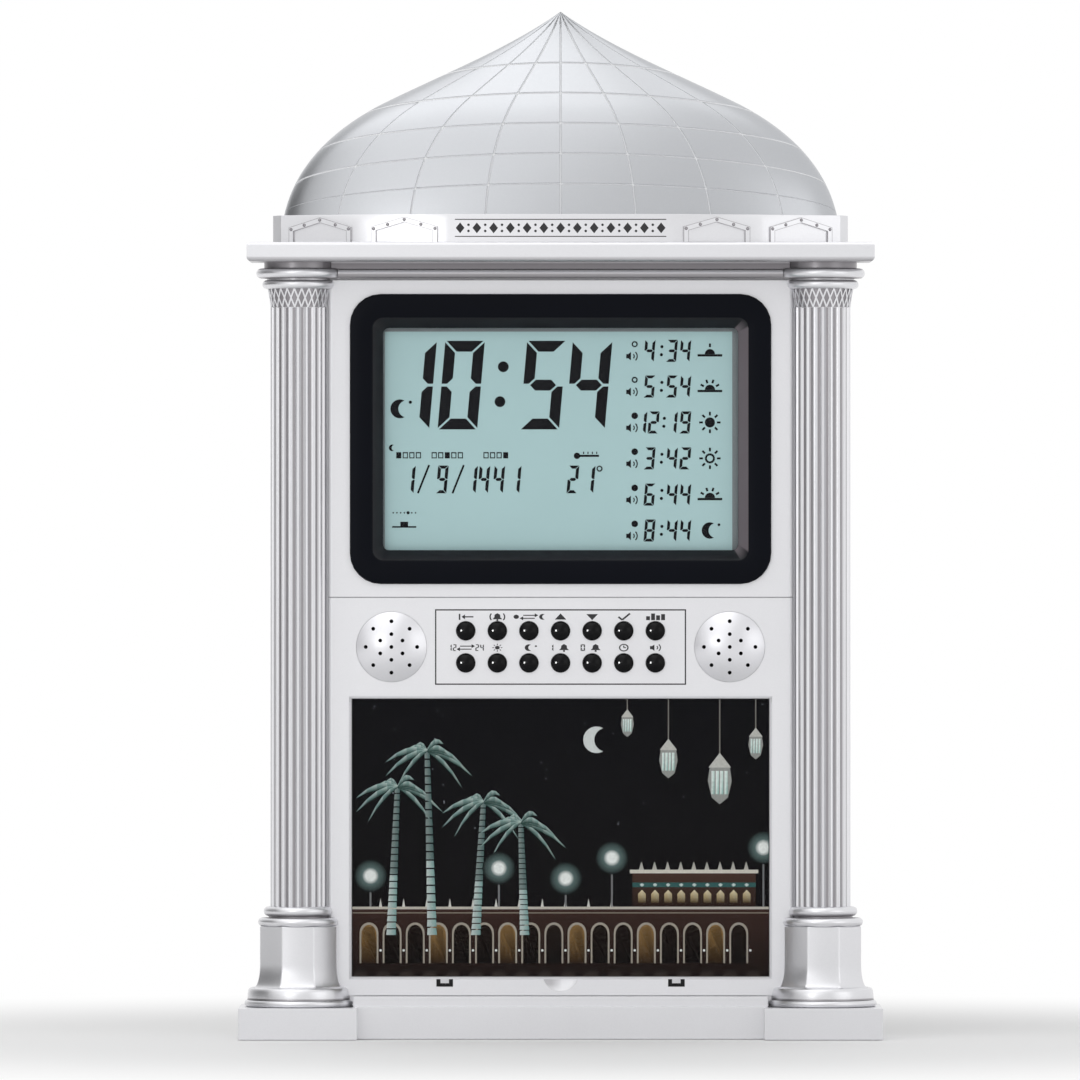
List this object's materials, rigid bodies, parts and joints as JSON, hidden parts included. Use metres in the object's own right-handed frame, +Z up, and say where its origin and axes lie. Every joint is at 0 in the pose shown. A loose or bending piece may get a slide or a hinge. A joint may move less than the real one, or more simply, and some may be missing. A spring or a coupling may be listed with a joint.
{
  "type": "azan clock",
  "caption": "Domed and columned digital clock for table or wall, with segment display, keypad, speakers and a hinged picture window.",
  "frame": {"origin": "under the middle of the clock, at the centre of its footprint", "axes": "+X to the viewer's right, +Y from the front to the back, +Z up to the peak of the dome"},
  "size_m": [0.25, 0.05, 0.4],
  "materials": {
    "silver_painted_abs": "silver paint on moulded ABS",
    "pale_silver_painted_abs": "bright silver paint on moulded ABS",
    "satin_silver_painted_abs": "satin silver paint on moulded ABS",
    "grille_silver_painted_abs": "silver paint on moulded ABS, drilled",
    "black_abs": "black moulded ABS, semi-gloss",
    "clear_acrylic": "clear cast acrylic",
    "clear_styrene": "clear moulded styrene",
    "lcd_glass": "bonded display glass with polarising film",
    "white_film": "white diffusing sheet",
    "white_abs": "moulded, unpainted",
    "contact_rubber": "layered conducting rubber",
    "circuit_board": "glass epoxy with solder mask",
    "component_black": "moulded epoxy",
    "silicone_rubber": "moulded silicone",
    "key_black_abs": "polished black ABS",
    "speaker_steel": "pressed and plated steel",
    "speaker_paper": "pressed paper",
    "ferrite": "sintered ferrite with plated caps",
    "spring_steel": "nickel plated spring steel",
    "printed_card": "printed and coated card",
    "dark_grey_abs": "spark-textured ABS",
    "cell_jacket": "printed shrink sleeve",
    "ribbon_vinyl": "flat vinyl ribbon",
    "blackened_steel": "blackened",
    "zinc_plated_steel": "zinc plated"
  },
  "bodies": {
    "clock_body": {"base_plinth": "silver_painted_abs", "left_column": "silver_painted_abs", "right_column": "silver_painted_abs", "cornice": "silver_painted_abs", "drum": "silver_painted_abs", "dome": "pale_silver_painted_abs", "upper_panel": "satin_silver_painted_abs", "lower_panel": "satin_silver_painted_abs", "left_grille": "grille_silver_painted_abs", "right_grille": "grille_silver_painted_abs", "display_bezel": "black_abs", "display_lens": "clear_acrylic", "lcd_glass": "lcd_glass", "lcd_diffuser": "white_film", "lcd_holder": "white_abs", "zebra_strips": "contact_rubber", "main_board": "circuit_board", "board_components": "component_black", "keypad_sheet": "silicone_rubber", "key_board": "circuit_board", "left_speaker_frame": "speaker_steel", "left_speaker_cone": "speaker_paper", "left_speaker_magnet": "ferrite", "right_speaker_frame": "speaker_steel", "right_speaker_cone": "speaker_paper", "right_speaker_magnet": "ferrite", "picture_card": "printed_card", "front_frame": "silver_painted_abs", "rear_cover": "dark_grey_abs", "lower_cell": "cell_jacket", "upper_cell": "cell_jacket", "left_contacts": "spring_steel", "right_contacts": "spring_steel", "ribbon_cable": "ribbon_vinyl", "rear_screws": "blackened_steel", "board_screws": "zinc_plated_steel"},
    "picture_cover": {"picture_cover": "clear_styrene"},
    "battery_lid": {"battery_lid": "dark_grey_abs"},
    "key_top_1": {"key_top_1": "key_black_abs"},
    "key_top_2": {"key_top_2": "key_black_abs"},
    "key_top_3": {"key_top_3": "key_black_abs"},
    "key_top_4": {"key_top_4": "key_black_abs"},
    "key_top_5": {"key_top_5": "key_black_abs"},
    "key_top_6": {"key_top_6": "key_black_abs"},
    "key_top_7": {"key_top_7": "key_black_abs"},
    "key_bottom_1": {"key_bottom_1": "key_black_abs"},
    "key_bottom_2": {"key_bottom_2": "key_black_abs"},
    "key_bottom_3": {"key_bottom_3": "key_black_abs"},
    "key_bottom_4": {"key_bottom_4": "key_black_abs"},
    "key_bottom_5": {"key_bottom_5": "key_black_abs"},
    "key_bottom_6": {"key_bottom_6": "key_black_abs"},
    "key_bottom_7": {"key_bottom_7": "key_black_abs"}
  },
  "joints": [
    {"name": "key_top_1_press", "type": "slide", "parent": "clock_body", "child": "key_top_1", "axis": [0, 1, 0], "range_m": [0, 0.001], "stiffness_N_per_m": 200},
    {"name": "key_top_2_press", "type": "slide", "parent": "clock_body", "child": "key_top_2", "axis": [0, 1, 0], "range_m": [0, 0.001], "stiffness_N_per_m": 200},
    {"name": "key_top_3_press", "type": "slide", "parent": "clock_body", "child": "key_top_3", "axis": [0, 1, 0], "range_m": [0, 0.001], "stiffness_N_per_m": 200},
    {"name": "key_top_4_press", "type": "slide", "parent": "clock_body", "child": "key_top_4", "axis": [0, 1, 0], "range_m": [0, 0.001], "stiffness_N_per_m": 200},
    {"name": "key_top_5_press", "type": "slide", "parent": "clock_body", "child": "key_top_5", "axis": [0, 1, 0], "range_m": [0, 0.001], "stiffness_N_per_m": 200},
    {"name": "key_top_6_press", "type": "slide", "parent": "clock_body", "child": "key_top_6", "axis": [0, 1, 0], "range_m": [0, 0.001], "stiffness_N_per_m": 200},
    {"name": "key_top_7_press", "type": "slide", "parent": "clock_body", "child": "key_top_7", "axis": [0, 1, 0], "range_m": [0, 0.001], "stiffness_N_per_m": 200},
    {"name": "key_bottom_1_press", "type": "slide", "parent": "clock_body", "child": "key_bottom_1", "axis": [0, 1, 0], "range_m": [0, 0.001], "stiffness_N_per_m": 200},
    {"name": "key_bottom_2_press", "type": "slide", "parent": "clock_body", "child": "key_bottom_2", "axis": [0, 1, 0], "range_m": [0, 0.001], "stiffness_N_per_m": 200},
    {"name": "key_bottom_3_press", "type": "slide", "parent": "clock_body", "child": "key_bottom_3", "axis": [0, 1, 0], "range_m": [0, 0.001], "stiffness_N_per_m": 200},
    {"name": "key_bottom_4_press", "type": "slide", "parent": "clock_body", "child": "key_bottom_4", "axis": [0, 1, 0], "range_m": [0, 0.001], "stiffness_N_per_m": 200},
    {"name": "key_bottom_5_press", "type": "slide", "parent": "clock_body", "child": "key_bottom_5", "axis": [0, 1, 0], "range_m": [0, 0.001], "stiffness_N_per_m": 200},
    {"name": "key_bottom_6_press", "type": "slide", "parent": "clock_body", "child": "key_bottom_6", "axis": [0, 1, 0], "range_m": [0, 0.001], "stiffness_N_per_m": 200},
    {"name": "key_bottom_7_press", "type": "slide", "parent": "clock_body", "child": "key_bottom_7", "axis": [0, 1, 0], "range_m": [0, 0.001], "stiffness_N_per_m": 200},
    {"name": "picture_cover_hinge", "type": "hinge", "parent": "clock_body", "child": "picture_cover", "pos_m": [0, -0.004, 0.1316], "axis": [-1, 0, 0], "range_deg": [0, 90]},
    {"name": "battery_lid_hinge", "type": "hinge", "parent": "clock_body", "child": "battery_lid", "pos_m": [0, 0.025, 0.10095], "axis": [1, 0, 0], "range_deg": [0, 90]}
  ]
}
